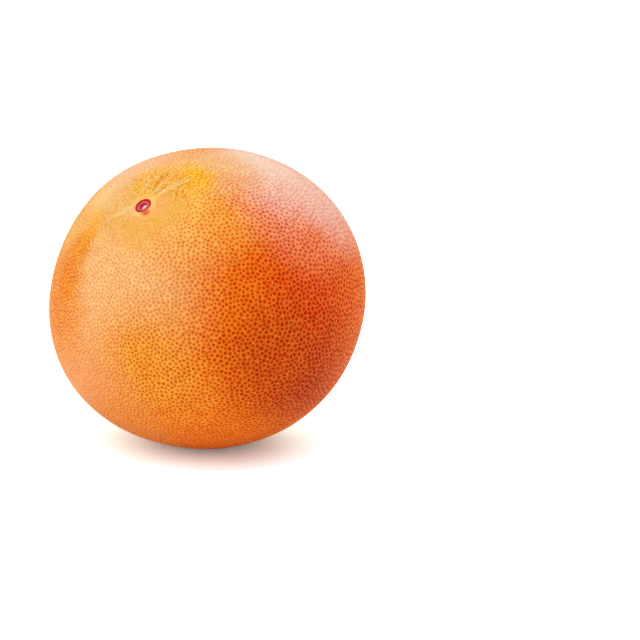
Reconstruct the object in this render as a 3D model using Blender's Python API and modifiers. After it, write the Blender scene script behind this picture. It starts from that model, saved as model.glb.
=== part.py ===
"""A whole grapefruit, lying as it settles on a table, in metres with +Z up.

The fruit is one natural body. Its own frame has +Z at the stem end and X across its narrow side.
It is turned from one meridian, pressed a little narrower along X, swollen and hollowed softly here
and there, leant over on its side and cut flat where its weight presses the peel on the table.
The world origin is on the table, under the middle of the fruit.
"""

from math import cos, exp, pi, radians, sin

import bpy
from mathutils import Matrix, Vector

MM = 0.001

# Overall sizes
WIDTH = 104 * MM  # across the broad side of the equator
DEPTH = 98.5 * MM  # across the narrow side of the equator
LENGTH = 95 * MM  # stem end to blossom end, before either end is dimpled
SHOULDER_EASE = 0.03  # how far the shoulders fall inside a true ellipse, as a share of the radius

# How the fruit lies
STEM_TILT = 40  # degrees from upright to the stem end
STEM_HEADING = 230  # degrees round from +X, seen from above, that the stem end leans towards
RESTING_SAG = 0.75 * MM  # how much of the underside the resting flat takes

# Stem end: a shallow dimple with the round scar of the stalk in its middle
DIMPLE_DEPTH = 2.1 * MM
DIMPLE_REACH = 9 * MM  # radius at which the dimple has eased to about a third of its depth
SCAR_RADIUS = 2.5 * MM
SCAR_LIP = 0.35 * MM  # how wide the scar's sloping edge is
SCAR_DEPTH = 0.6 * MM

# Blossom end: a flatter patch with a small round mark
BLOSSOM_DEPTH = 1.2 * MM
BLOSSOM_REACH = 9 * MM
MARK_RADIUS = 1.6 * MM
MARK_LIP = 0.4 * MM
MARK_DEPTH = 0.3 * MM

# Soft swellings and hollows of the peel: degrees from the stem end, degrees round it, height
SWELLS = [
    (40, -120, 0.35 * MM),
    (55, -70, -0.45 * MM),
    (90, -35, 0.20 * MM),
    (120, -5, -0.50 * MM),
    (60, 165, 0.25 * MM),
    (85, 110, -0.35 * MM),
    (110, 60, 0.30 * MM),
]
SWELL_SPREAD = radians(20)

# Fineness of the turned body
STEPS = 64  # flats round the stem axis
MERIDIAN_STEPS = 30  # spans from the stem scar to the blossom mark
MERGE = 0.001 * MM

# Table block that cuts the resting flat
TABLE_SIZE = 80 * MM
TABLE_THICKNESS = 20 * MM


def clear_scene():
    """Take every object out of the open scene."""
    for thing in list(bpy.data.objects):
        bpy.data.objects.remove(thing, do_unlink=True)


def new_collection(name):
    """A collection linked under the scene's own."""
    collection = bpy.data.collections.new(name)
    bpy.context.scene.collection.children.link(collection)
    return collection


def step_in(distance, edge, lip):
    """1 inside a round edge and 0 outside it, passing evenly from one to the other across its lip."""
    return min(1, max(0, (edge - distance) / lip + 0.5))


def meridian_point(turn):
    """Radius and height on the turned body at an angle from the stem end, in the fruit's frame."""
    ease = 1 - SHOULDER_EASE * sin(2 * turn) ** 2
    radius = WIDTH / 2 * sin(turn) * ease
    height = LENGTH / 2 * cos(turn) * ease
    if turn < pi / 2:
        height -= DIMPLE_DEPTH * exp(-((radius / DIMPLE_REACH) ** 2))
        height -= SCAR_DEPTH * step_in(radius, SCAR_RADIUS, SCAR_LIP)
    else:
        height += BLOSSOM_DEPTH * exp(-((radius / BLOSSOM_REACH) ** 2))
        height += MARK_DEPTH * step_in(radius, MARK_RADIUS, MARK_LIP)
    return Vector((radius, 0, height))


def end_turns(edge, lip):
    """Angles from a pole to the middle and the two sides of the round edge about it."""
    radii = (edge / 2, edge - lip / 2, edge + lip / 2, edge + 2 * lip)
    return [radius / (WIDTH / 2) for radius in radii]


def meridian_turns():
    """Angles down the outer side, from one pole to the other, closer together at the two marks."""
    stem_turns = end_turns(SCAR_RADIUS, SCAR_LIP)
    blossom_turns = end_turns(MARK_RADIUS, MARK_LIP)
    first = stem_turns[-1]
    last = pi - blossom_turns[-1]
    between = [first + (last - first) * i / MERIDIAN_STEPS for i in range(1, MERIDIAN_STEPS)]
    near_blossom = [pi - turn for turn in reversed(blossom_turns)]
    return [0, *stem_turns, *between, *near_blossom, pi]


def turned_body(collection):
    """The meridian turned about the stem axis by a Screw modifier, and made a mesh."""
    points = [meridian_point(turn) for turn in meridian_turns()]
    points[0].x = 0
    points[-1].x = 0
    outline = bpy.data.meshes.new("meridian")
    outline.from_pydata(points, [(i, i + 1) for i in range(len(points) - 1)], [])
    body = bpy.data.objects.new("meridian", outline)
    collection.objects.link(body)
    screw = body.modifiers.new("turn", "SCREW")
    screw.axis = "Z"
    screw.angle = 2 * pi
    screw.steps = STEPS
    screw.render_steps = STEPS
    screw.use_merge_vertices = True
    screw.merge_threshold = MERGE
    screw.use_smooth_shade = True
    evaluated = body.evaluated_get(bpy.context.evaluated_depsgraph_get())
    mesh = bpy.data.meshes.new_from_object(evaluated)
    bpy.data.objects.remove(body, do_unlink=True)
    return mesh


def direction(from_stem, around):
    """Unit vector at an angle from the stem end and an angle round it, both in radians."""
    return Vector((sin(from_stem) * cos(around), sin(from_stem) * sin(around), cos(from_stem)))


def swell(mesh):
    """Raise and lower the peel softly about the middle of each swelling."""
    centres = [(direction(radians(a), radians(b)), height) for a, b, height in SWELLS]
    for vertex in mesh.vertices:
        outward = vertex.co.normalized()
        rise = sum(
            height * exp(-((outward.angle(centre) / SWELL_SPREAD) ** 2))
            for centre, height in centres
        )
        vertex.co += outward * rise


def resting_place(mesh):
    """Where the fruit lies: leant over, its middle over the origin and its lowest peel in the table."""
    tilting = Matrix.Rotation(radians(STEM_TILT), 4, "Y")
    heading = Matrix.Rotation(radians(STEM_HEADING), 4, "Z")
    leaning = heading @ tilting
    points = [leaning @ vertex.co for vertex in mesh.vertices]
    middle_x = (min(p.x for p in points) + max(p.x for p in points)) / 2
    middle_y = (min(p.y for p in points) + max(p.y for p in points)) / 2
    lowest = min(p.z for p in points)
    return Matrix.Translation((-middle_x, -middle_y, -lowest - RESTING_SAG)) @ leaning


def table_cutter(collection):
    """A block whose top is the table, z = 0."""
    bpy.ops.mesh.primitive_cube_add(size=1, location=(0, 0, -TABLE_THICKNESS / 2))
    cutter = bpy.context.object
    cutter.name = "table_cutter"
    cutter.scale = (TABLE_SIZE, TABLE_SIZE, TABLE_THICKNESS)
    for holder in list(cutter.users_collection):
        holder.objects.unlink(cutter)
    collection.objects.link(cutter)
    cutter.hide_render = True
    cutter.display_type = "WIRE"
    return cutter


def peel_material():
    """Waxy orange peel."""
    material = bpy.data.materials.new("peel")
    material.use_nodes = True
    shader = material.node_tree.nodes["Principled BSDF"]
    shader.inputs["Base Color"].default_value = (0.86, 0.29, 0.06, 1)
    shader.inputs["Roughness"].default_value = 0.42
    shader.inputs["Metallic"].default_value = 0
    return material


def build():
    clear_scene()
    parts = new_collection("grapefruit")
    cutters = new_collection("cutters")

    mesh = turned_body(parts)
    mesh.name = "grapefruit"
    swell(mesh)
    mesh.transform(Matrix.Diagonal((DEPTH / WIDTH, 1, 1, 1)))
    mesh.materials.append(peel_material())

    fruit = bpy.data.objects.new("grapefruit", mesh)
    parts.objects.link(fruit)
    fruit.matrix_world = resting_place(mesh)

    flat = fruit.modifiers.new("resting_flat", "BOOLEAN")
    flat.operation = "DIFFERENCE"
    flat.solver = "EXACT"
    flat.object = table_cutter(cutters)


build()
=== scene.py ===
"""Looks of a whole grapefruit: a pitted, blushed peel with some shade and sheen painted into its colour,
and the scar of its stalk.
"""

from math import cos, pi, radians, sin, sqrt

import bpy
import numpy as np
from mathutils import Matrix, Vector
from mathutils.kdtree import KDTree


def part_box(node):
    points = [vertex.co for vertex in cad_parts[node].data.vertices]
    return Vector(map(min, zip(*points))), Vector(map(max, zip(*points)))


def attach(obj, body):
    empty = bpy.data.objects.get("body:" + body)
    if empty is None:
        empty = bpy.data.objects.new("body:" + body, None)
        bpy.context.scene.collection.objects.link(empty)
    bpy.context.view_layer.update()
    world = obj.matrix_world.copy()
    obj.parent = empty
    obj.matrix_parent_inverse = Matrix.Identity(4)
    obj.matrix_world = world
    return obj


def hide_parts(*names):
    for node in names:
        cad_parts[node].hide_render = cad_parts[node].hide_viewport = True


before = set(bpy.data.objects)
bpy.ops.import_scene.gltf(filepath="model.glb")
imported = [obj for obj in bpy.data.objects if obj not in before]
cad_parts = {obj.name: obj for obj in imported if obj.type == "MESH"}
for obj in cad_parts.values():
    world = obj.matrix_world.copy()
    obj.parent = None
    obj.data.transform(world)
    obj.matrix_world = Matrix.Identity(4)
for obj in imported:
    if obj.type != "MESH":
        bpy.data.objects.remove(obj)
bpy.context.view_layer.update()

MM = 0.001
NODE = "grapefruit"
SEED = 11

cad_low, cad_high = (np.array(corner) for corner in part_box(NODE))
FRUIT_MIDDLE = Vector((cad_low + cad_high) / 2)

# The fruit's form, the same as the CAD model's, in its own frame: +Z at the stem end, X across its
# narrow side
WIDTH = 104 * MM
DEPTH = 98.5 * MM
LENGTH = 95 * MM
MEAN_RADIUS = WIDTH * 0.48  # about half the mean of the three
SHOULDER_EASE = 0.03
DIMPLE_DEPTH = 2.1 * MM
DIMPLE_REACH = 9 * MM
SCAR_RADIUS = 2.5 * MM
SCAR_LIP = 0.35 * MM
SCAR_DEPTH = 0.6 * MM
BLOSSOM_DEPTH = 1.2 * MM
BLOSSOM_REACH = 9 * MM
MARK_RADIUS = 1.6 * MM
MARK_LIP = 0.4 * MM
MARK_DEPTH = 0.3 * MM
SWELL_SPREAD = radians(20)
SWELLS = [  # degrees from the stem end, degrees round it, height
    (40, -120, 0.35 * MM),
    (55, -70, -0.45 * MM),
    (90, -35, 0.20 * MM),
    (120, -5, -0.50 * MM),
    (60, 165, 0.25 * MM),
    (85, 110, -0.35 * MM),
    (110, 60, 0.30 * MM),
]

# How it lies
STEM_TILT = 40
STEM_HEADING = 230
RESTING_SAG = 0.75 * MM
LEANING = np.array(
    Matrix.Rotation(radians(STEM_HEADING), 3, "Z") @ Matrix.Rotation(radians(STEM_TILT), 3, "Y")
)

# Oil glands: evenly scattered pits, closer and fainter about the stem
GLAND_SPACING = 1.63 * MM
STEM_SPACING = 0.98 * MM
STEM_ZONE = 15 * MM  # radius within which the stem's closer spacing holds
BARE_SKIN = 4.5 * MM  # radius without glands about the scar
MARK_SKIN = 3.2 * MM  # radius without glands about the blossom mark
JITTER = 0.32  # how far a gland strays from its lattice, as a share of the spacing
RELAX_ROUNDS = 5
RELAX_PUSH = 0.3
NEIGHBOURS = 8
PIT_SHARE = 40  # percent of the way to the next gland that a pit's rim reaches at first
PIT_LIMIT = 1.16  # how far a rim may end from its middle, beside that
SMALL_PIT = 0.44 * MM
LARGE_PIT = 0.76 * MM
PIT_SKEW = 0.8  # below 1, large pits are commoner than small ones
PIT_SLOPE = 0.24  # depth of a pit as a share of its radius
STEM_SHRINK = 0.4  # how much smaller the pits are beside the stem
STEM_SHRINK_ZONE = 24 * MM
PLAIN_LIE = 0.6  # plain skin is coloured as if this far out from a gland, as a share of its reach
COARSE_SIDE = (35, 15)  # where the pits are largest: degrees round from the front, degrees up
FINE_SIDE = 0.80  # size of the pits on the side away from it, beside those
CLOSE_SIDE = (-60, 6)  # where the glands are closest together: degrees round, degrees up
CLOSENESS = 0.87  # their spacing there beside the spacing given above

# Rings of plain skin round the scar and the blossom mark: radii in mm, points in each
STEM_RINGS = (0.8, 1.6, 2.1, 2.32, 2.5, 2.68, 3.0, 3.5, 4.1)
STEM_RING_POINTS = 44
MARK_RINGS = (0.7, 1.2, 1.4, 1.6, 1.8, 2.1, 2.6)
MARK_RING_POINTS = 30
FAR_AWAY = 99.0  # stands for a distance from the other end of the fruit

# Low, broad unevenness of the peel
WAVES = 14
WAVE_COUNTS = (5, 14)  # radians of each wave to one radius of the fruit
WAVE_HEIGHT = 0.022 * MM

# Scar of the stalk, in mm
BUTTON_RADIUS = 2.46
BUTTON_TOP = 0.12  # height of the middle over the cup's floor
BUTTON_UNDERSIDE = -0.45
BUTTON_SHARE = 0.8  # share of the sphere, from its top, that becomes the button's upper side
RING_RADIUS = 1.78
RING_HEIGHT = 0.34
RING_WIDTH = 0.52
EDGE_START = 2.1
EDGE_WIDTH = 0.35
EDGE_DROP = 0.5
BEADS = 12
BEAD_TURN = 0.22  # how far round a bead strays, as a share of the gap between beads
BEAD_STRAY = 0.16
BEAD_SIZES = (0.20, 0.30)
BEAD_HEIGHT = 0.16
HEART_HEADING = 72  # degrees
HEART_OFFSET = 0.42
HEART_LENGTH = 0.62
HEART_WIDTH = 0.98
HEART_HEIGHT = 0.14
HEART_RAGGEDNESS = 0.12
HEART_EDGE = (1.12, 0.82)  # where the heart's edge starts and is full, as shares of its half sizes

# Folds that run out from the scar: degrees round the stem, then start, end, height and half width
# in mm. A groove has a height below 0.
FOLDS = [
    (143, 3.6, 20.0, 0.30, 0.50),
    (149, 7.0, 21.0, 0.24, 0.40),
    (136, 8.0, 18.0, 0.22, 0.40),
    (128, 5.0, 13.0, -0.12, 1.2),
    (156, 3.8, 12.0, -0.14, 1.0),
    (168, 3.6, 16.0, 0.26, 0.55),
    (179, 5.0, 18.0, -0.34, 1.0),
    (189, 4.2, 16.0, 0.26, 0.55),
    (199, 6.0, 14.0, 0.20, 0.50),
    (212, 4.0, 11.0, 0.18, 0.60),
    (230, 4.4, 12.0, -0.12, 1.1),
    (-66, 3.2, 9.0, 0.30, 0.5),
    (-50, 4.0, 13.0, 0.26, 0.6),
    (20, 3.8, 9.0, 0.12, 1.0),
    (80, 3.8, 9.5, -0.14, 1.3),
    (108, 5.0, 11.0, 0.16, 0.8),
]
FOLD_SWAY = 0.035  # radians that a fold wanders to each side
FOLD_WAVE = 0.55  # radians of that wandering to the mm
FOLD_START = 2  # mm over which a fold rises
FOLD_END = 5  # mm over which it dies away
PUCKERS = [(11, 0.05), (17, 0.04)]  # small wrinkles: number round the stem, height in mm
PUCKER_ZONE = (3, 6, 6, 15)  # mm from the stem at which they start, are full, fade and end


def srgb(red, green, blue):
    """A linear colour from display values between 0 and 255."""
    return [(value / 255) ** 2.2 for value in (red, green, blue)] + [1.0]


# ---------------------------------------------------------------- form


def towards(around, up):
    """Unit vector at degrees round from the front towards the right, and degrees up."""
    a, b = radians(around), radians(up)
    return np.array([sin(a) * cos(b), -cos(a) * cos(b), sin(b)])


def direction(from_stem, around):
    """Unit vector at degrees from the stem end and degrees round it."""
    a, b = radians(from_stem), radians(around)
    return np.array([sin(a) * cos(b), sin(a) * sin(b), cos(a)])


def step_in(distance, edge, lip):
    """1 inside a round edge and 0 outside it, passing evenly across its lip."""
    return np.clip((edge - distance) / lip + 0.5, 0, 1)


def smooth_form(directions):
    """Places on the smooth form for unit directions, before the fruit is leant over."""
    turn = np.arccos(np.clip(directions[:, 2], -1, 1))
    ease = 1 - SHOULDER_EASE * np.sin(2 * turn) ** 2
    radius = WIDTH / 2 * np.sin(turn) * ease
    height = LENGTH / 2 * np.cos(turn) * ease
    top = turn < pi / 2
    dimple = DIMPLE_DEPTH * np.exp(-((radius / DIMPLE_REACH) ** 2))
    dimple += SCAR_DEPTH * step_in(radius, SCAR_RADIUS, SCAR_LIP)
    dent = BLOSSOM_DEPTH * np.exp(-((radius / BLOSSOM_REACH) ** 2))
    dent += MARK_DEPTH * step_in(radius, MARK_RADIUS, MARK_LIP)
    height += np.where(top, -dimple, dent)
    around = np.arctan2(directions[:, 1], directions[:, 0])
    places = np.stack([radius * np.cos(around), radius * np.sin(around), height], 1)
    outward = places / np.linalg.norm(places, axis=1, keepdims=True)
    rise = np.zeros(len(places))
    for from_stem, round_stem, swell in SWELLS:
        angle = np.arccos(np.clip(outward @ direction(from_stem, round_stem), -1, 1))
        rise += swell * np.exp(-((angle / SWELL_SPREAD) ** 2))
    places += outward * rise[:, None]
    places[:, 0] *= DEPTH / WIDTH
    return places


def fold_relief(places):
    """Height of the folds about the stem at places in the fruit's frame."""
    radius = np.hypot(places[:, 0], places[:, 1]) / MM
    around = np.arctan2(places[:, 1], places[:, 0])
    relief = np.zeros(len(places))
    for heading, start, end, height, width in FOLDS:
        bent = around - radians(heading) - FOLD_SWAY * np.sin(radius * FOLD_WAVE + heading)
        away = radius * np.sin(bent)
        ahead = np.cos(bent) > 0
        window = np.clip((radius - start) / FOLD_START, 0, 1) * np.clip((end - radius) / FOLD_END, 0, 1)
        relief += np.where(ahead, height * np.exp(-((away / width) ** 2)) * window, 0)
    start, full, fade, end = PUCKER_ZONE
    window = np.clip((radius - start) / (full - start), 0, 1)
    window *= np.clip((end - radius) / (end - fade), 0, 1)
    twists = (0.8 * np.sin(radius / 2), radius / 3)
    for (count, height), twist in zip(PUCKERS, twists):
        relief += height * window * np.sin(count * around + twist)
    return np.where(places[:, 2] > 0, relief * MM, 0)


def undulation(directions):
    """A very low, broad unevenness all over the peel."""
    waves = np.zeros(len(directions))
    rng = np.random.default_rng(SEED + 1)
    for _ in range(WAVES):
        axis = rng.normal(size=3)
        axis *= rng.uniform(*WAVE_COUNTS) / np.linalg.norm(axis)
        waves += np.sin(directions @ axis + rng.uniform(0, 2 * pi))
    return WAVE_HEIGHT * waves


def lying_place(places):
    """How the peel's points move down on to the table: a shift and a fit inside the model's box."""
    places = places @ LEANING.T
    low, high = places.min(0), places.max(0)
    shift = np.array([(low[0] + high[0]) / 2, (low[1] + high[1]) / 2, low[2] + RESTING_SAG])
    size = high - [low[0], low[1], shift[2]]
    return shift, min((cad_high - cad_low) / size)


def laid_down(places, lying):
    """Points turned as the fruit lies, those under the table pressed flat on it."""
    shift, fit = lying
    places = (places @ LEANING.T - shift) * fit
    places[:, 2] = np.maximum(places[:, 2], 0)
    return places


# ---------------------------------------------------------------- glands


def spiral(spacing):
    """Unit directions all over a sphere on a spiral lattice, and the spacing at each."""
    size = spacing / MEAN_RADIUS
    count = int(4 * pi / (sqrt(3) / 2 * size**2))
    step = np.arange(count) + 0.5
    z = 1 - 2 * step / count
    around = step * pi * (3 - sqrt(5))
    flat = np.sqrt(1 - z**2)
    return np.stack([flat * np.cos(around), flat * np.sin(around), z], 1), np.full(count, size)


def drawn_together(points, sizes):
    """A lattice drawn towards the side of the closest glands, without stretching it anywhere."""
    side = LEANING.T @ towards(*CLOSE_SIDE)
    along = points @ side
    across = points - along[:, None] * side
    across /= np.linalg.norm(across, axis=1, keepdims=True)
    half = (1 - along) / (1 + along)
    drawn = (1 - CLOSENESS**2 * half) / (1 + CLOSENESS**2 * half)
    scale = CLOSENESS * (1 + half) / (1 + CLOSENESS**2 * half)
    points = drawn[:, None] * side + np.sqrt(1 - drawn**2)[:, None] * across
    return points, sizes * scale


def between(points, sizes, low_turn, high_turn):
    """The points of a lattice between two angles from the stem end."""
    keep = (points[:, 2] < cos(low_turn)) & (points[:, 2] > cos(high_turn))
    return points[keep], sizes[keep]


def loosen(points, sizes, fixed):
    """Push glands off their lattice at random, then apart again, so that they lie as skin pores do."""
    rng = np.random.default_rng(SEED)
    free = ~fixed
    points = points + rng.normal(size=points.shape) * (JITTER * sizes * free)[:, None]
    points /= np.linalg.norm(points, axis=1, keepdims=True)
    for _ in range(RELAX_ROUNDS):
        tree = KDTree(len(points))
        for index, point in enumerate(points):
            tree.insert(point, index)
        tree.balance()
        moved = points.copy()
        for index in np.flatnonzero(free):
            here = points[index]
            push = np.zeros(3)
            for near, other, gap in tree.find_n(here, NEIGHBOURS):
                if other != index and gap < sizes[index]:
                    push += (here - np.array(near)) / gap * (sizes[index] - gap)
            moved[index] = here + push * RELAX_PUSH
        points = moved / np.linalg.norm(moved, axis=1, keepdims=True)
    return points


def skin_rings(radii, count):
    """Rings of plain skin points about the stem end, each ring turned half a step from the last."""
    points = [np.array([[0, 0, 1.0]])]
    for ring, radius in enumerate(radii):
        turn = radius * MM / (WIDTH / 2)
        around = (np.arange(count) + ring % 2 / 2) * 2 * pi / count
        flat = np.stack([np.cos(around), np.sin(around)], 1) * sin(turn)
        points.append(np.column_stack([flat, np.full(count, cos(turn))]))
    return np.concatenate(points)


def gland_map():
    """Unit directions of all points of the peel, and which of them are glands."""
    stem_turn = STEM_ZONE / (WIDTH / 2)
    bare_turn = BARE_SKIN / (WIDTH / 2)
    mark_turn = pi - MARK_SKIN / (WIDTH / 2)
    near, near_sizes = between(*spiral(STEM_SPACING), bare_turn, stem_turn)
    wide, wide_sizes = between(*drawn_together(*spiral(GLAND_SPACING)), stem_turn, mark_turn)
    stem_skin = skin_rings(STEM_RINGS, STEM_RING_POINTS)
    mark_skin = skin_rings(MARK_RINGS, MARK_RING_POINTS) * [1, 1, -1]
    skin = np.concatenate([stem_skin, mark_skin])
    points = np.concatenate([near, wide, skin])
    sizes = np.concatenate([near_sizes, wide_sizes, np.full(len(skin), near_sizes[0])])
    is_gland = np.arange(len(points)) < len(near) + len(wide)
    return loosen(points, sizes, ~is_gland), is_gland


def only(obj):
    """Make one object the active and only selected one."""
    bpy.ops.object.select_all(action="DESELECT")
    bpy.context.view_layer.objects.active = obj
    obj.select_set(True)


def pitted_sphere():
    """A round peel whose every gland is a small many-sided pit with a vertex at its middle."""
    points, is_gland = gland_map()
    mesh = bpy.data.meshes.new("peel")
    mesh.from_pydata(points.tolist(), [], [])
    peel = bpy.data.objects.new("peel", mesh)
    bpy.context.scene.collection.objects.link(peel)
    for _ in range(2):  # the bevel marks its faces with the second of two empty slots
        mesh.materials.append(None)
    only(peel)
    bpy.ops.object.mode_set(mode="EDIT")
    bpy.ops.mesh.select_all(action="SELECT")
    bpy.ops.mesh.convex_hull(join_triangles=False)
    bpy.ops.mesh.select_all(action="DESELECT")
    bpy.ops.object.mode_set(mode="OBJECT")

    tree = KDTree(len(points))
    for index, point in enumerate(points):
        tree.insert(point, index)
    tree.balance()
    for vertex in mesh.vertices:
        vertex.select = bool(is_gland[tree.find(vertex.co)[1]])
    bpy.ops.object.mode_set(mode="EDIT")
    bpy.ops.mesh.select_mode(type="VERT")
    bpy.ops.mesh.bevel(
        offset_type="PERCENT", offset_pct=PIT_SHARE, segments=1, affect="VERTICES", material=1
    )
    bpy.ops.mesh.select_mode(type="FACE")
    bpy.ops.mesh.select_all(action="DESELECT")
    peel.active_material_index = 1
    bpy.ops.object.material_slot_select()
    bpy.ops.mesh.poke()
    bpy.ops.mesh.select_all(action="SELECT")
    bpy.ops.mesh.quads_convert_to_tris(ngon_method="BEAUTY")
    bpy.ops.mesh.normals_make_consistent(inside=False)
    bpy.ops.object.mode_set(mode="OBJECT")
    return peel


def vertex_places(mesh):
    """The mesh's vertices as an array with a row for each."""
    places = np.empty(len(mesh.vertices) * 3)
    mesh.vertices.foreach_get("co", places)
    return places.reshape(-1, 3)


def gland_owners(mesh):
    """For each vertex, the vertex at the middle of its gland, or itself on plain skin."""
    corner = np.empty(len(mesh.loops), int)
    mesh.loops.foreach_get("vertex_index", corner)
    in_gland = np.empty(len(mesh.polygons), int)
    mesh.polygons.foreach_get("material_index", in_gland)
    triangles = corner.reshape(-1, 3)
    middle = np.ones(len(mesh.vertices), bool)
    middle[triangles[in_gland == 0].ravel()] = False
    owner = np.arange(len(mesh.vertices))
    pits = triangles[in_gland == 1]
    for side in range(3):
        fan = pits[middle[pits[:, side]]]
        owner[fan[:, (side + 1) % 3]] = fan[:, side]
        owner[fan[:, (side + 2) % 3]] = fan[:, side]
    return owner, middle


def gland_reach(places, owner):
    """A radius for each gland, smaller near the stem and on the fine side, and its random number."""
    chance = np.random.default_rng(SEED + 2).random(len(places))[owner]
    radius = np.hypot(places[:, 0], places[:, 1])[owner]
    near_stem = np.where(places[owner, 2] > 0, np.clip(1.2 - radius / STEM_SHRINK_ZONE, 0, 1), 0)
    outward = places[owner] / np.linalg.norm(places[owner], axis=1, keepdims=True)
    coarse = outward @ LEANING.T @ towards(*COARSE_SIDE)
    coarse = 1 - (1 - FINE_SIDE) * np.clip(0.5 - coarse * 1.1, 0, 1)
    reach = SMALL_PIT + (LARGE_PIT - SMALL_PIT) * chance**PIT_SKEW
    return reach * coarse * (1 - STEM_SHRINK * near_stem), chance


def set_attribute(mesh, name, values):
    """Store a number or a vector for each vertex."""
    vector = values.ndim == 2
    attribute = mesh.attributes.new(name, "FLOAT_VECTOR" if vector else "FLOAT", "POINT")
    field = "vector" if vector else "value"
    attribute.data.foreach_set(field, values.astype(np.float32).ravel())


def make_peel():
    """The peel as it lies, its values for the materials, and how it was moved down on to the table."""
    peel = pitted_sphere()
    mesh = peel.data
    owner, middle = gland_owners(mesh)
    directions = vertex_places(mesh)
    directions /= np.linalg.norm(directions, axis=1, keepdims=True)
    places = smooth_form(directions)
    reach, chance = gland_reach(places, owner)

    rim = owner != np.arange(len(owner))
    spoke = places - places[owner]
    length = np.linalg.norm(spoke, axis=1)
    length[~rim] = 1
    wanted = np.minimum(reach, length * PIT_LIMIT)
    directions = np.where(
        rim[:, None],
        directions[owner] + (directions - directions[owner]) * (wanted / length)[:, None],
        directions,
    )
    directions /= np.linalg.norm(directions, axis=1, keepdims=True)
    places = smooth_form(directions)

    outward = places / np.linalg.norm(places, axis=1, keepdims=True)
    folds = fold_relief(places)
    radius = np.hypot(places[:, 0], places[:, 1])
    on_top = places[:, 2] > 0
    places += outward * (folds + undulation(directions))[:, None]
    plain = ~rim & ~middle
    hearts = places[owner] + outward * (plain * reach * PLAIN_LIE)[:, None]
    places -= outward * (middle * reach * PIT_SLOPE)[:, None]
    lying = lying_place(places)

    mesh.vertices.foreach_set("co", laid_down(places, lying).ravel())
    set_attribute(mesh, "gland", middle * 1.0)
    set_attribute(mesh, "heart", laid_down(hearts, lying))
    set_attribute(mesh, "reach", reach)
    set_attribute(mesh, "chance", chance)
    set_attribute(mesh, "fold", folds / MM)
    set_attribute(mesh, "from_stem", np.where(on_top, radius / MM, FAR_AWAY))
    set_attribute(mesh, "from_mark", np.where(on_top, FAR_AWAY, radius / MM))
    mesh.polygons.foreach_set("material_index", np.zeros(len(mesh.polygons), np.int32))
    mesh.materials.clear()
    mesh.shade_smooth()
    mesh.update()
    return peel, lying


# ---------------------------------------------------------------- scar of the stalk


def bead_mask(x, y):
    """Round beads strayed a little from their ring, at places in mm."""
    rng = np.random.default_rng(SEED + 3)
    beads = np.zeros_like(x)
    for bead in range(BEADS):
        angle = 2 * pi * (bead + rng.uniform(-BEAD_TURN, BEAD_TURN)) / BEADS
        ring = RING_RADIUS + rng.uniform(-BEAD_STRAY, BEAD_STRAY)
        size = rng.uniform(*BEAD_SIZES)
        gap = np.hypot(x - ring * cos(angle), y - ring * sin(angle))
        beads = np.maximum(beads, np.exp(-((gap / size) ** 2)))
    return beads


def heart_mask(x, y):
    """The pale heart, an uneven oval a little off the middle, at places in mm."""
    heading = radians(HEART_HEADING)
    along = x * cos(heading) + y * sin(heading) - HEART_OFFSET
    across = y * cos(heading) - x * sin(heading)
    gap = np.hypot(along / HEART_LENGTH, across / HEART_WIDTH)
    gap += HEART_RAGGEDNESS * np.sin(5 * np.arctan2(y, x) + 1)
    start, full = HEART_EDGE
    return np.clip((start - gap) / (start - full), 0, 1)


def scar_height(x, y, beads, heart):
    """Height of the scar's top over the floor of its cup, in mm."""
    radius = np.hypot(x, y)
    around = np.arctan2(y, x)
    height = BUTTON_TOP + RING_HEIGHT * np.exp(-(((radius - RING_RADIUS) / RING_WIDTH) ** 2))
    height -= EDGE_DROP * np.clip((radius - EDGE_START) / EDGE_WIDTH, 0, 1) ** 2
    height += 0.05 * np.sin(23 * around + 2 * radius) * np.clip(radius - 0.8, 0, 1)
    height += BEAD_HEIGHT * beads + HEART_HEIGHT * heart
    height += 0.07 * heart * np.sin(6.1 * x + 1) * np.sin(5.3 * y)
    return height


def make_scar(lying):
    """A small dried button that fills the cup at the stem end: a beaded ring about a pale heart."""
    bpy.ops.object.select_all(action="DESELECT")
    bpy.ops.mesh.primitive_uv_sphere_add(segments=112, ring_count=64, radius=1)
    scar = bpy.context.object
    scar.name = "stem_scar"
    mesh = scar.data
    mesh.name = "stem_scar"
    sphere = vertex_places(mesh)
    turn = np.arccos(np.clip(sphere[:, 2], -1, 1)) / pi
    around = np.arctan2(sphere[:, 1], sphere[:, 0])
    upper = turn < BUTTON_SHARE
    share = np.where(upper, turn / BUTTON_SHARE, (1 - turn) / (1 - BUTTON_SHARE))
    x = BUTTON_RADIUS * share * np.cos(around)
    y = BUTTON_RADIUS * share * np.sin(around)
    beads, heart = bead_mask(x, y), heart_mask(x, y)
    height = np.where(upper, scar_height(x, y, beads, heart), BUTTON_UNDERSIDE + 0.07 * share**8)
    dimple = DIMPLE_DEPTH * np.exp(-((share * BUTTON_RADIUS * MM / DIMPLE_REACH) ** 2))
    floor = LENGTH / 2 - dimple - SCAR_DEPTH
    places = np.stack([x * MM * DEPTH / WIDTH, y * MM, floor + height * MM], 1)
    mesh.vertices.foreach_set("co", laid_down(places, lying).ravel())
    set_attribute(mesh, "bead", beads * upper)
    set_attribute(mesh, "heart", heart * upper)
    mesh.shade_smooth()
    mesh.update()
    return scar


# ---------------------------------------------------------------- shader helpers


def add(tree, kind, **settings):
    """A new shader node with its settings and plain input values."""
    node = tree.nodes.new(kind)
    for name, value in settings.items():
        if hasattr(node, name):
            setattr(node, name, value)
        else:
            node.inputs[name].default_value = value
    return node


def join(tree, *pairs):
    """Link output sockets to input sockets, given two by two."""
    for start, end in zip(pairs[::2], pairs[1::2]):
        tree.links.new(start, end)


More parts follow.
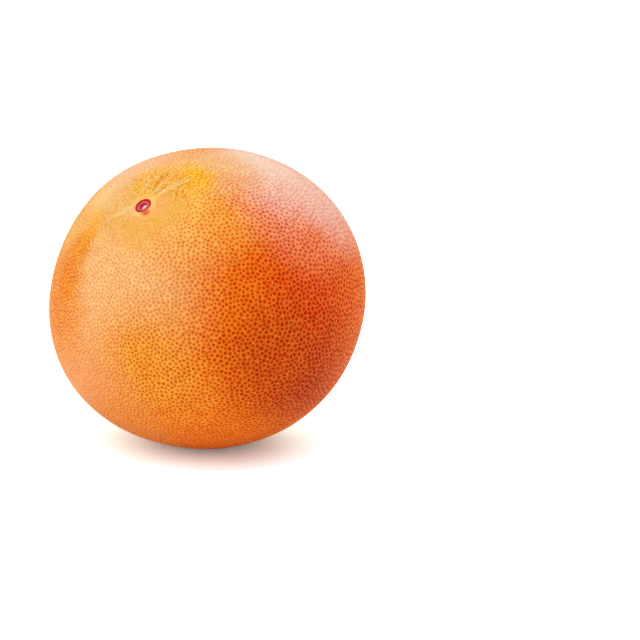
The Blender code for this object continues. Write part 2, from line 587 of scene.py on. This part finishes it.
def new_group(name, inputs, outputs):
    """A shader node group with named sockets, each given as (kind, name, default)."""
    tree = bpy.data.node_groups.new(name, "ShaderNodeTree")
    for kind, label, value in inputs:
        socket = tree.interface.new_socket(label, in_out="INPUT", socket_type=kind)
        socket.default_value = value
    for kind, label in outputs:
        tree.interface.new_socket(label, in_out="OUTPUT", socket_type=kind)
    return tree, tree.nodes.new("NodeGroupInput").outputs, tree.nodes.new("NodeGroupOutput").inputs


def patch_group():
    """A soft-edged patch about one direction of the peel, its edge ragged."""
    tree, given, out = new_group(
        "peel patch",
        [
            ("NodeSocketVector", "Direction", (0, 0, 1)),
            ("NodeSocketVector", "Middle", (0, 0, 1)),
            ("NodeSocketFloat", "Ragged Noise", 0.5),
            ("NodeSocketFloat", "Reach", 0.5),
            ("NodeSocketFloat", "Softness", 0.2),
            ("NodeSocketFloat", "Raggedness", 0.1),
            ("NodeSocketFloat", "Strength", 1.0),
        ],
        [("NodeSocketFloat", "Mask")],
    )
    gap = add(tree, "ShaderNodeVectorMath", operation="DISTANCE")
    centred = add(tree, "ShaderNodeMath", operation="SUBTRACT")
    centred.inputs[1].default_value = 0.5
    ragged = add(tree, "ShaderNodeMath", operation="MULTIPLY_ADD")
    near = add(tree, "ShaderNodeMath", operation="ADD")
    far = add(tree, "ShaderNodeMath", operation="SUBTRACT")
    fade = add(tree, "ShaderNodeMapRange", interpolation_type="SMOOTHSTEP")
    fade.inputs["To Min"].default_value = 0
    scaled = add(tree, "ShaderNodeMath", operation="MULTIPLY")
    join(
        tree,
        given["Direction"], gap.inputs[0],
        given["Middle"], gap.inputs[1],
        given["Ragged Noise"], centred.inputs[0],
        centred.outputs[0], ragged.inputs[0],
        given["Raggedness"], ragged.inputs[1],
        gap.outputs["Value"], ragged.inputs[2],
        given["Reach"], near.inputs[0],
        given["Softness"], near.inputs[1],
        given["Reach"], far.inputs[0],
        given["Softness"], far.inputs[1],
        ragged.outputs[0], fade.inputs["Value"],
        near.outputs[0], fade.inputs["From Min"],
        far.outputs[0], fade.inputs["From Max"],
        fade.outputs["Result"], scaled.inputs[0],
        given["Strength"], scaled.inputs[1],
        scaled.outputs[0], out["Mask"],
    )
    return tree


def gland_group():
    """Round spots in the glands and the ridges between them, which take a painted highlight, from each
    gland's middle and reach.
    """
    tree, given, out = new_group(
        "gland spots",
        [
            ("NodeSocketVector", "Position", (0, 0, 0)),
            ("NodeSocketFloat", "Gland", 0.0),
            ("NodeSocketVector", "Heart", (0, 0, 0)),
            ("NodeSocketFloat", "Reach", 1 * MM),
            ("NodeSocketFloat", "Edge", 0.80),
            ("NodeSocketFloat", "Blur", 0.30),
            ("NodeSocketFloat", "Unevenness", 0.45),
        ],
        [
            ("NodeSocketFloat", "Spots"),
            ("NodeSocketFloat", "Ridges"),
            ("NodeSocketFloat", "Relief"),
        ],
    )
    away = add(tree, "ShaderNodeVectorMath", operation="DISTANCE")
    share = add(tree, "ShaderNodeMath", operation="DIVIDE")
    grain = add(tree, "ShaderNodeTexNoise", Scale=1500.0, Detail=1.0)
    uneven = add(tree, "ShaderNodeMath", operation="SUBTRACT")
    uneven.inputs[1].default_value = 0.5
    moved = add(tree, "ShaderNodeMath", operation="MULTIPLY_ADD")
    inside = add(tree, "ShaderNodeMath", operation="GREATER_THAN")
    inside.inputs[1].default_value = 0.002
    outside = add(tree, "ShaderNodeMath", operation="SUBTRACT")
    outside.inputs[0].default_value = 1
    low = add(tree, "ShaderNodeMath", operation="SUBTRACT")
    high = add(tree, "ShaderNodeMath", operation="ADD")
    fade = add(tree, "ShaderNodeMapRange", interpolation_type="SMOOTHSTEP")
    fade.inputs["To Min"].default_value = 1
    fade.inputs["To Max"].default_value = 0
    spots = add(tree, "ShaderNodeMath", operation="MULTIPLY")
    crest = add(tree, "ShaderNodeMapRange", interpolation_type="SMOOTHSTEP")
    crest.inputs["From Min"].default_value = 1.0
    crest.inputs["From Max"].default_value = 0.35
    ridges = add(tree, "ShaderNodeMath", operation="MULTIPLY")
    bowl = add(tree, "ShaderNodeMapRange", interpolation_type="SMOOTHSTEP")
    bowl.inputs["To Min"].default_value = -1
    bowl.inputs["To Max"].default_value = 0
    pit = add(tree, "ShaderNodeMath", operation="MULTIPLY")
    relief = add(tree, "ShaderNodeMath", operation="MULTIPLY_ADD")
    relief.inputs[1].default_value = 0.5
    join(
        tree,
        given["Position"], away.inputs[0],
        given["Heart"], away.inputs[1],
        away.outputs["Value"], share.inputs[0],
        given["Reach"], share.inputs[1],
        given["Position"], grain.inputs["Vector"],
        grain.outputs["Fac"], uneven.inputs[0],
        uneven.outputs[0], moved.inputs[0],
        given["Unevenness"], moved.inputs[1],
        share.outputs[0], moved.inputs[2],
        given["Gland"], inside.inputs[0],
        inside.outputs[0], outside.inputs[1],
        given["Edge"], low.inputs[0],
        given["Blur"], low.inputs[1],
        given["Edge"], high.inputs[0],
        given["Blur"], high.inputs[1],
        moved.outputs[0], fade.inputs["Value"],
        low.outputs[0], fade.inputs["From Min"],
        high.outputs[0], fade.inputs["From Max"],
        fade.outputs["Result"], spots.inputs[0],
        inside.outputs[0], spots.inputs[1],
        spots.outputs[0], out["Spots"],
        share.outputs[0], crest.inputs["Value"],
        crest.outputs["Result"], ridges.inputs[0],
        outside.outputs[0], ridges.inputs[1],
        ridges.outputs[0], out["Ridges"],
        share.outputs[0], bowl.inputs["Value"],
        bowl.outputs["Result"], pit.inputs[0],
        inside.outputs[0], pit.inputs[1],
        ridges.outputs[0], relief.inputs[0],
        pit.outputs[0], relief.inputs[2],
        relief.outputs[0], out["Relief"],
    )
    return tree


# Peel colours: the ground, then patches laid over it in turn; some add painted shade, others painted
# sheen.
# Each patch: degrees round from the front towards the right, degrees up, reach, softness,
# raggedness, strength, colour of the skin, colour of its glands.
GROUND = (srgb(252, 152, 52), srgb(214, 92, 6))
PATCHES = [
    ("back blush", 150, 12, 0.75, 0.50, 0.30, 1.0, srgb(250, 128, 56), srgb(206, 54, 8)),
    ("back gold", -135, -5, 0.65, 0.45, 0.25, 1.0, srgb(253, 180, 78), srgb(224, 126, 30)),
    ("back shoulder", -140, 58, 0.50, 0.45, 0.25, 0.9, srgb(252, 178, 108), srgb(234, 140, 68)),
    ("right shoulder", 128, 50, 0.42, 0.42, 0.25, 0.8, srgb(253, 164, 112), srgb(222, 96, 52)),
    ("blossom end", 144, -50, 0.45, 0.35, 0.25, 0.9, srgb(252, 170, 62), srgb(220, 110, 16)),
    ("warm right", 48, 4, 0.88, 0.42, 0.15, 1.0, srgb(252, 108, 12), srgb(214, 34, 0)),
    # Red blush, darkened further as painted shade over the right side
    ("deep right", 36, 4, 0.38, 0.34, 0.15, 1.0, srgb(230, 42, 0), srgb(184, 0, 0)),
    # Red blush with painted shade, low on the right
    ("low right", 38, -24, 0.34, 0.32, 0.12, 1.0, srgb(198, 36, 0), srgb(154, 0, 0)),
    ("front foot", 4, -58, 0.42, 0.36, 0.12, 1.0, srgb(255, 122, 18), srgb(232, 84, 0)),
    ("front orange", 2, 2, 0.38, 0.34, 0.12, 0.9, srgb(254, 122, 6), srgb(206, 44, 0)),
    # Red blush with painted shade, low on the front towards the right
    ("low front", 22, -7, 0.26, 0.24, 0.12, 0.85, srgb(214, 60, 0), srgb(168, 26, 0)),
    ("front foot pale", -8, -21, 0.16, 0.18, 0.12, 0.65, srgb(250, 152, 64), srgb(212, 102, 20)),
    ("pale left", -38, 14, 0.50, 0.34, 0.12, 1.0, srgb(255, 194, 130), srgb(234, 148, 88)),
    ("left middle", -24, -10, 0.28, 0.26, 0.14, 0.85, srgb(254, 160, 34), srgb(208, 82, 0)),
    ("left low", -62, -28, 0.38, 0.30, 0.12, 1.0, srgb(251, 165, 106), srgb(232, 136, 78)),
    ("left foot", -42, -46, 0.30, 0.26, 0.12, 0.9, srgb(248, 142, 64), srgb(222, 110, 36)),
    ("left shoulder", -66, 50, 0.30, 0.22, 0.18, 1.0, srgb(248, 192, 120), srgb(232, 164, 80)),
    # Pale yellow skin and a painted rim highlight at the silhouette on the left
    ("left edge", -84, 28, 0.15, 0.18, 0.24, 0.75, srgb(252, 196, 110), srgb(238, 160, 70)),
    ("left streak low", -74, 1, 0.28, 0.20, 0.28, 0.95, srgb(254, 150, 58), srgb(212, 76, 4)),
    ("left streak", -67, 14, 0.15, 0.10, 0.30, 0.95, srgb(254, 148, 20), srgb(208, 74, 0)),
    ("left streak high", -65, 26, 0.11, 0.08, 0.30, 0.95, srgb(250, 152, 22), srgb(208, 84, 0)),
    ("left streak top", -65, 36, 0.080, 0.070, 0.30, 0.85, srgb(253, 174, 60), srgb(236, 142, 22)),
    ("yellow shoulder", -78, 48, 0.14, 0.12, 0.25, 0.7, srgb(249, 212, 126), srgb(238, 192, 84)),
    # Pale peach skin and a painted sheen on the upper left
    ("left peach", -80, 64, 0.24, 0.28, 0.30, 1.0, srgb(252, 192, 152), srgb(242, 170, 126)),
    ("upper front", -10, 42, 0.26, 0.24, 0.14, 0.85, srgb(255, 186, 104), srgb(236, 120, 34)),
    ("upper middle", 11, 44, 0.19, 0.17, 0.12, 0.8, srgb(255, 170, 72), srgb(238, 98, 0)),
    ("pink shoulder", 59, 46, 0.35, 0.25, 0.18, 1.0, srgb(255, 172, 152), srgb(222, 84, 62)),
    ("red shoulder", 50, 29, 0.17, 0.17, 0.16, 0.80, srgb(255, 120, 76), srgb(208, 54, 22)),
    # Pale skin and a painted sheen towards the right edge
    ("pale edge", 84, 38, 0.22, 0.30, 0.24, 0.85, srgb(255, 202, 190), srgb(238, 148, 128)),
    # Pale skin and a painted sheen on the upper right shoulder
    ("pale shoulder", 76, 59, 0.30, 0.30, 0.24, 1.0, srgb(255, 210, 190), srgb(246, 172, 150)),
    # Pale skin and a painted sheen high on the right
    ("pale top", 80, 74, 0.22, 0.18, 0.20, 0.8, srgb(255, 226, 206), srgb(252, 216, 192)),
    # Pale skin, partly a painted highlight along the top edge
    ("top", 12, 74, 0.26, 0.18, 0.18, 0.9, srgb(252, 194, 136), srgb(234, 158, 98)),
    ("stem gold", -30, 57, 0.30, 0.16, 0.30, 0.9, srgb(255, 196, 88), srgb(240, 150, 40)),
    ("bright gold", -13, 64, 0.14, 0.09, 0.34, 0.95, srgb(255, 186, 6), srgb(240, 120, 0)),
    ("dull gold", -52, 59, 0.09, 0.08, 0.30, 0.8, srgb(255, 190, 48), srgb(236, 138, 10)),
    ("under the stem", -34, 41, 0.16, 0.10, 0.22, 0.8, srgb(253, 188, 88), srgb(240, 156, 60)),
    ("about the scar", -37, 48.5, 0.105, 0.04, 0.10, 0.9, srgb(252, 194, 118), srgb(246, 180, 100)),
    ("bare left", -46, 47, 0.075, 0.035, 0.12, 0.9, srgb(250, 188, 122), srgb(248, 180, 112)),
    ("bare right", -27, 51, 0.075, 0.04, 0.12, 0.8, srgb(252, 178, 104), srgb(246, 164, 88)),
    ("smear", -35, 46.4, 0.030, 0.020, 0.06, 0.95, srgb(232, 76, 30), srgb(222, 60, 20)),
]
GRAINY = ("fine grain", -58, 10, 0.62, 0.35, 0.2, 1.0)  # where the glands blur into a fine grain
SMOOTH = ("smooth skin", -27, 50, 0.09, 0.035, 0.10, 1.0)  # bare of flecks, beside the scar
GOLDEN = ("golden flecks", -32, 63, 0.27, 0.10, 0.30, 1.0)  # where the flecks are strongest
MOTTLE_TINT = srgb(255, 226, 190)
# Painted highlight: screened over the ridges between glands and as small glints over the skin
PAINTED_HIGHLIGHT = srgb(126, 102, 38)
HUE_LIGHT = srgb(10, 74, 0)
FLECK_CREAM = srgb(255, 222, 146)
FLECK_BROWN = srgb(236, 122, 10)
SCAR_STAIN = srgb(204, 14, 46)
MARK_BROWN = srgb(158, 98, 44)
FLESH_DARK, FLESH_LIGHT = srgb(172, 6, 30), srgb(216, 46, 70)
PITH_PALE, PITH_DARK = srgb(246, 206, 198), srgb(170, 130, 112)
BEAD_PINK = srgb(255, 196, 190)

# Fine noises: scale, detail, and the two levels between which each is spread from 0 to 1
NOISES = {
    "mottle": (330.0, 3.0, 0.46, 0.72),
    "freckles": (1900.0, 2.0, 0.48, 0.62),
    "glow": (1300.0, 2.0, 0.50, 0.66),
    "cream flecks": (1250.0, 2.0, 0.52, 0.60),
    "brown flecks": (1000.0, 2.0, 0.50, 0.60),
    "fine relief": (2600.0, 2.0, 0.20, 0.80),
    "flesh": (2400.0, 3.0, 0.35, 0.70),
    "pith specks": (1900.0, 2.0, 0.55, 0.70),
}

# Shares of the fine colours
MOTTLE = 0.5
FRECKLES = 0.30
FRECKLES_IN_GRAIN = 0.36  # added where the grain is fine
GLOW = 0.6
FLECKS = 0.35
FLECKS_IN_GOLD = 0.65  # added where the flecks are golden
BROWN_FLECKS = 0.85
CREAM_FLECKS = 0.75
CREST = 0.60
CREST_IN_CREAM = 0.35  # added where the cream flecks are
GROOVE = 0.65
MARK = 0.85
HUE = 0.55
SPOTS = 0.65
SPOTS_BY_CHANCE = 0.35  # added to some glands more than to others
SPOTS_OFF_STEM = 0.5  # taken away about the stem
SPOTS_OFF_GRAIN = 0.10  # taken away where the grain is fine
# Share of the painted highlight on the ridges between glands
RIDGE_HIGHLIGHT = 0.8
RIDGE_HIGHLIGHT_OFF_STEM = 0.7  # taken away about the stem

# Where marks fade, in mm: from the middle of the stem, from the middle of the mark, in fold height
FLECKS_FADE = (11.0, 21.0)
BARE_FADE = (3.4, 6.0)
STAIN_FADE = (2.62, 2.85)
MARK_FADE = (1.2, 2.4)
CREST_FADE = (0.06, 0.20)
GROOVE_FADE = (-0.32, -0.10)

# Multiples of a gland's own random number that give it two others
HUE_DRAW = 7.0
DEPTH_DRAW = 13.0


def speckle(tree, place, name):
    """One of the fine noises."""
    scale, detail, low, high = NOISES[name]
    noise = add(tree, "ShaderNodeTexNoise", Scale=scale, Detail=detail)
    spread = add(tree, "ShaderNodeMapRange", interpolation_type="SMOOTHSTEP")
    spread.inputs["From Min"].default_value = low
    spread.inputs["From Max"].default_value = high
    join(tree, place, noise.inputs["Vector"], noise.outputs["Fac"], spread.inputs["Value"])
    return spread.outputs["Result"]


def maths(tree, operation, *values):
    """One operation on sockets or numbers."""
    node = add(tree, "ShaderNodeMath", operation=operation)
    for socket, value in zip(node.inputs, values):
        if isinstance(value, (int, float)):
            socket.default_value = value
        else:
            join(tree, value, socket)
    return node.outputs[0]


def times(tree, first, *others):
    """Several sockets or numbers multiplied."""
    for other in others:
        first = maths(tree, "MULTIPLY", first, other)
    return first


def more(tree, share, extra, mask):
    """A share, and an extra added as far as a mask says."""
    return maths(tree, "ADD", times(tree, mask, extra), share)


def less(tree, share, loss, mask):
    """A share, and a loss taken from it as far as a mask says."""
    return maths(tree, "SUBTRACT", share, times(tree, mask, loss))


def over(tree, below, colour, mask, blend="MIX"):
    """A colour laid over another, as far as a mask says."""
    mix = add(tree, "ShaderNodeMix", data_type="RGBA", blend_type=blend)
    for socket, value in ((mix.inputs[6], below), (mix.inputs[7], colour)):
        if isinstance(value, list):
            socket.default_value = value
        else:
            join(tree, value, socket)
    join(tree, mask, mix.inputs[0])
    return mix.outputs[2]


def fading(tree, value, start, end):
    """1 up to the start of a stretch and 0 past its end."""
    fade = add(tree, "ShaderNodeMapRange", interpolation_type="SMOOTHSTEP")
    fade.inputs["From Min"].default_value = start
    fade.inputs["From Max"].default_value = end
    fade.inputs["To Min"].default_value = 1
    fade.inputs["To Max"].default_value = 0
    join(tree, value, fade.inputs["Value"])
    return fade.outputs["Result"]


def own(tree, name):
    """A value that the piece's own mesh carries."""
    attribute = add(tree, "ShaderNodeAttribute", attribute_name=name)
    return attribute.outputs["Fac"]


def patch_mask(tree, lie, name, around, up, reach, softness, ragged, strength):
    """Mask of one patch, given the sockets of the peel's direction and of a broad noise."""
    patch = add(tree, "ShaderNodeGroup", node_tree=bpy.data.node_groups["peel patch"], label=name)
    patch.inputs["Middle"].default_value = towards(around, up)
    patch.inputs["Reach"].default_value = reach
    patch.inputs["Softness"].default_value = softness
    patch.inputs["Raggedness"].default_value = ragged
    patch.inputs["Strength"].default_value = strength
    join(tree, lie[0], patch.inputs["Direction"], lie[1], patch.inputs["Ragged Noise"])
    return patch.outputs["Mask"]


def peel_lie(tree, place):
    """Sockets that tell where on the peel a place is: its direction, and a broad noise."""
    outward = add(tree, "ShaderNodeVectorMath", operation="SUBTRACT")
    outward.inputs[1].default_value = FRUIT_MIDDLE
    unit = add(tree, "ShaderNodeVectorMath", operation="NORMALIZE")
    broad = add(tree, "ShaderNodeTexNoise", Scale=90.0, Detail=5.0, Roughness=0.66)
    join(tree, place, outward.inputs[0], outward.outputs[0], unit.inputs[0], place, broad.inputs["Vector"])
    return unit.outputs[0], broad.outputs["Fac"]


def patch_colours(tree, lie):
    """Skin and gland colours of the ground and of all the patches over it, some with painted shade, some
    with painted sheen.
    """
    skin, pores = GROUND
    for *patch, skin_colour, pore_colour in PATCHES:
        mask = patch_mask(tree, lie, *patch)
        skin = over(tree, skin, skin_colour, mask)
        pores = over(tree, pores, pore_colour, mask)
    return skin, pores


def freckled(tree, place, skin, pores, grainy):
    """Skin with a pale mottle, freckles of its glands' colour and small lights over it."""
    mottle = times(tree, speckle(tree, place, "mottle"), MOTTLE)
    skin = over(tree, skin, MOTTLE_TINT, mottle, "MULTIPLY")
    share = more(tree, FRECKLES, FRECKLES_IN_GRAIN, grainy)
    skin = over(tree, skin, pores, times(tree, speckle(tree, place, "freckles"), share))
    glow = times(tree, speckle(tree, place, "glow"), GLOW)
    return over(tree, skin, PAINTED_HIGHLIGHT, glow, "SCREEN")


def fleck_share(tree, lie, around_stem):
    """How strong the flecks about the stem are: none beside the scar, most where they are golden."""
    bare = less(tree, 1.0, 1.0, fading(tree, own(tree, "from_stem"), *BARE_FADE))
    rough = less(tree, 1.0, 1.0, patch_mask(tree, lie, *SMOOTH))
    share = more(tree, FLECKS, FLECKS_IN_GOLD, patch_mask(tree, lie, *GOLDEN))
    return times(tree, around_stem, bare, rough, share)


def folded(tree, skin, cream):
    """Skin with the crests of its folds pale and their grooves brown."""
    crest = less(tree, 1.0, 1.0, fading(tree, own(tree, "fold"), *CREST_FADE))
    crest = times(tree, crest, more(tree, CREST, CREST_IN_CREAM, cream))
    groove = fading(tree, own(tree, "fold"), *GROOVE_FADE)
    skin = over(tree, skin, FLECK_CREAM, crest)
    return over(tree, skin, FLECK_BROWN, times(tree, groove, GROOVE))


def marked(tree, skin):
    """Skin stained in the scar's cup and brown at the blossom mark."""
    skin = over(tree, skin, SCAR_STAIN, fading(tree, own(tree, "from_stem"), *STAIN_FADE))
    mark = fading(tree, own(tree, "from_mark"), *MARK_FADE)
    return over(tree, skin, MARK_BROWN, times(tree, mark, MARK))


def roughen(tree, shader, noise, low, high):
    """Roughness that follows a noise between two levels."""
    level = add(tree, "ShaderNodeMapRange")
    level.inputs["To Min"].default_value = low
    level.inputs["To Max"].default_value = high
    join(tree, noise, level.inputs["Value"], level.outputs["Result"], shader.inputs["Roughness"])


def peel_material():
    """Waxy peel: blushed skin with painted shade low on the right and painted sheen on the shoulders,
    darker oil glands with painted highlights on the ridges between them, cream and brown flecks about the
    stem.
    """
    material = bpy.data.materials.new("peel")
    material.use_nodes = True
    tree = material.node_tree
    shader = tree.nodes["Principled BSDF"]
    place = add(tree, "ShaderNodeTexCoord").outputs["Object"]
    heart = add(tree, "ShaderNodeAttribute", attribute_name="heart")
    glands = add(tree, "ShaderNodeGroup", node_tree=bpy.data.node_groups["gland spots"])
    join(
        tree,
        place, glands.inputs["Position"],
        own(tree, "gland"), glands.inputs["Gland"],
        heart.outputs["Vector"], glands.inputs["Heart"],
        own(tree, "reach"), glands.inputs["Reach"],
    )
    lie = peel_lie(tree, place)
    skin, pores = patch_colours(tree, lie)

    grainy = patch_mask(tree, lie, *GRAINY)
    around_stem = fading(tree, own(tree, "from_stem"), *FLECKS_FADE)
    cream = speckle(tree, place, "cream flecks")
    brown = speckle(tree, place, "brown flecks")
    flecked = fleck_share(tree, lie, around_stem)
    skin = freckled(tree, place, skin, pores, grainy)
    skin = over(tree, skin, FLECK_BROWN, times(tree, brown, flecked, BROWN_FLECKS))
    skin = over(tree, skin, FLECK_CREAM, times(tree, cream, flecked, CREAM_FLECKS))
    skin = folded(tree, skin, cream)
    skin = marked(tree, skin)
    # Painted highlight screened over the ridges between the glands, weaker about the stem
    ridges = times(tree, glands.outputs["Ridges"], less(tree, RIDGE_HIGHLIGHT, RIDGE_HIGHLIGHT_OFF_STEM, around_stem))
    skin = over(tree, skin, PAINTED_HIGHLIGHT, ridges, "SCREEN")

    chance = own(tree, "chance")
    hue = maths(tree, "FRACT", times(tree, chance, HUE_DRAW))
    depth = maths(tree, "FRACT", times(tree, chance, DEPTH_DRAW))
    pores = over(tree, pores, HUE_LIGHT, times(tree, hue, HUE), "SCREEN")
    spots = times(
        tree,
        glands.outputs["Spots"],
        more(tree, SPOTS, SPOTS_BY_CHANCE, depth),
        less(tree, 1.0, SPOTS_OFF_STEM, around_stem),
        less(tree, 1.0, SPOTS_OFF_GRAIN, grainy),
    )
    join(tree, over(tree, skin, pores, spots), shader.inputs["Base Color"])

    fine = speckle(tree, place, "fine relief")
    height = maths(tree, "ADD", glands.outputs["Relief"], times(tree, fine, 0.5))
    height = maths(tree, "ADD", height, times(tree, cream, flecked, 0.5))
    bump = add(tree, "ShaderNodeBump", Strength=0.7, Distance=0.25 * MM)
    join(tree, height, bump.inputs["Height"], bump.outputs["Normal"], shader.inputs["Normal"])
    roughen(tree, shader, fine, 0.46, 0.60)
    shader.inputs["Specular IOR Level"].default_value = 0.16
    shader.inputs["Specular Tint"].default_value = (1.0, 0.5, 0.1, 1.0)
    shader.inputs["Subsurface Weight"].default_value = 0.08
    shader.inputs["Subsurface Radius"].default_value = (1.0, 0.35, 0.12)
    shader.inputs["Subsurface Scale"].default_value = 1.2 * MM
    return material


def scar_material():
    """Dried stalk: crimson flesh with pale beads about a whitish heart."""
    material = bpy.data.materials.new("stem_scar")
    material.use_nodes = True
    tree = material.node_tree
    shader = tree.nodes["Principled BSDF"]
    place = add(tree, "ShaderNodeTexCoord").outputs["Object"]
    grain = speckle(tree, place, "flesh")
    flesh = over(tree, FLESH_DARK, FLESH_LIGHT, grain)
    pith = over(tree, PITH_PALE, PITH_DARK, times(tree, speckle(tree, place, "pith specks"), 0.8))
    colour = over(tree, flesh, BEAD_PINK, times(tree, own(tree, "bead"), 0.8))
    colour = over(tree, colour, pith, own(tree, "heart"))
    join(tree, colour, shader.inputs["Base Color"])
    bump = add(tree, "ShaderNodeBump", Strength=0.7, Distance=0.12 * MM)
    join(tree, grain, bump.inputs["Height"], bump.outputs["Normal"], shader.inputs["Normal"])
    roughen(tree, shader, grain, 0.42, 0.70)
    shader.inputs["Specular IOR Level"].default_value = 0.12
    return material


# ---------------------------------------------------------------- studio


CAMERA_ELEVATION = 14
CAMERA_DISTANCE = 1.5
SENSOR_WIDTH = 36  # mm
FRAME_WIDTH = 200.2 * MM
AIM_RIGHT = 35.4 * MM
AIM_DOWN = 7.2 * MM

FLOOR_RADIUS = 12
FLOOR_SIDES = 96
WORLD_LIGHT = 0.65
WORLD_SHOWN = 1.05  # how bright the surround looks
FLOOR_BOUNCE = 1.0  # how much light the floor throws back
FLOOR_SHOWN = (1.25, 1.75, 1.9)  # how bright it looks, so that only a pale contact shadow stays
FLOOR_GLOW = 0.12  # lifts the darkest of that shadow
SOFT_LIGHTS = [  # degrees round from the front towards the right, degrees up, spread, strength
    ("side_light", -65, 22, 100, 1.36),
    ("shoulder_light", 130, 62, 70, 0.94),
]


def make_camera():
    """A long lens a little above the fruit, which leaves room to its right."""
    data = bpy.data.cameras.new("camera")
    camera = bpy.data.objects.new("camera", data)
    bpy.context.scene.collection.objects.link(camera)
    bpy.context.scene.camera = camera
    tilt = radians(CAMERA_ELEVATION)
    back = Vector((0, -cos(tilt), sin(tilt)))
    above = Vector((0, sin(tilt), cos(tilt)))
    aim = FRUIT_MIDDLE + Vector((AIM_RIGHT, 0, 0)) - above * AIM_DOWN
    camera.location = aim + back * CAMERA_DISTANCE
    camera.rotation_euler = (pi / 2 - tilt, 0, 0)
    data.sensor_width = SENSOR_WIDTH
    data.lens = SENSOR_WIDTH * CAMERA_DISTANCE / FRAME_WIDTH
    data.clip_start = 0.05
    data.clip_end = 50


def soft_sun(name, around, up, spread, strength):
    """Light from a wide, soft source, at degrees round from the front to the right and degrees up."""
    data = bpy.data.lights.new(name, "SUN")
    data.angle = radians(spread)
    data.energy = strength
    light = bpy.data.objects.new(name, data)
    bpy.context.scene.collection.objects.link(light)
    light.rotation_euler = Vector(towards(around, up)).to_track_quat("Z", "Y").to_euler()


def make_floor():
    """A wide white floor, which throws back less light than it shows."""
    bpy.ops.object.select_all(action="DESELECT")
    bpy.ops.mesh.primitive_circle_add(vertices=FLOOR_SIDES, radius=FLOOR_RADIUS, fill_type="NGON")
    floor = bpy.context.object
    floor.name = "studio_floor"
    material = bpy.data.materials.new("studio_floor")
    material.use_nodes = True
    tree = material.node_tree
    tree.nodes.clear()
    lit = add(tree, "ShaderNodeBsdfDiffuse")
    lit.inputs["Color"].default_value = (*FLOOR_SHOWN, 1)
    glow = add(tree, "ShaderNodeEmission", Strength=FLOOR_GLOW)
    seen = add(tree, "ShaderNodeAddShader")
    thrown = add(tree, "ShaderNodeBsdfDiffuse")
    thrown.inputs["Color"].default_value = (FLOOR_BOUNCE, FLOOR_BOUNCE, FLOOR_BOUNCE, 1)
    path = add(tree, "ShaderNodeLightPath")
    mix = add(tree, "ShaderNodeMixShader")
    surface = add(tree, "ShaderNodeOutputMaterial")
    join(
        tree,
        path.outputs["Is Camera Ray"], mix.inputs[0],
        thrown.outputs[0], mix.inputs[1],
        lit.outputs[0], seen.inputs[0],
        glow.outputs[0], seen.inputs[1],
        seen.outputs[0], mix.inputs[2],
        mix.outputs[0], surface.inputs["Surface"],
    )
    floor.data.materials.append(material)


def make_world():
    """White all round, and dimmer as a light than it looks."""
    world = bpy.data.worlds.new("studio")
    bpy.context.scene.world = world
    world.use_nodes = True
    tree = world.node_tree
    background = tree.nodes["Background"]
    background.inputs["Color"].default_value = (1, 1, 1, 1)
    path = add(tree, "ShaderNodeLightPath")
    level = add(tree, "ShaderNodeMapRange")
    level.inputs["To Min"].default_value = WORLD_LIGHT
    level.inputs["To Max"].default_value = WORLD_SHOWN
    join(
        tree,
        path.outputs["Is Camera Ray"], level.inputs["Value"],
        level.outputs["Result"], background.inputs["Strength"],
    )


def make_studio():
    """Surround, floor and lights, with colours shown as they are."""
    make_world()
    make_floor()
    for light in SOFT_LIGHTS:
        soft_sun(*light)
    bpy.context.scene.view_settings.view_transform = "Standard"


patch_group()
gland_group()
peel, lying = make_peel()
peel.data.materials.append(peel_material())
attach(peel, "root")
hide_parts(NODE)

scar = make_scar(lying)
scar.data.materials.append(scar_material())
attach(scar, "root")

make_camera()
make_studio()
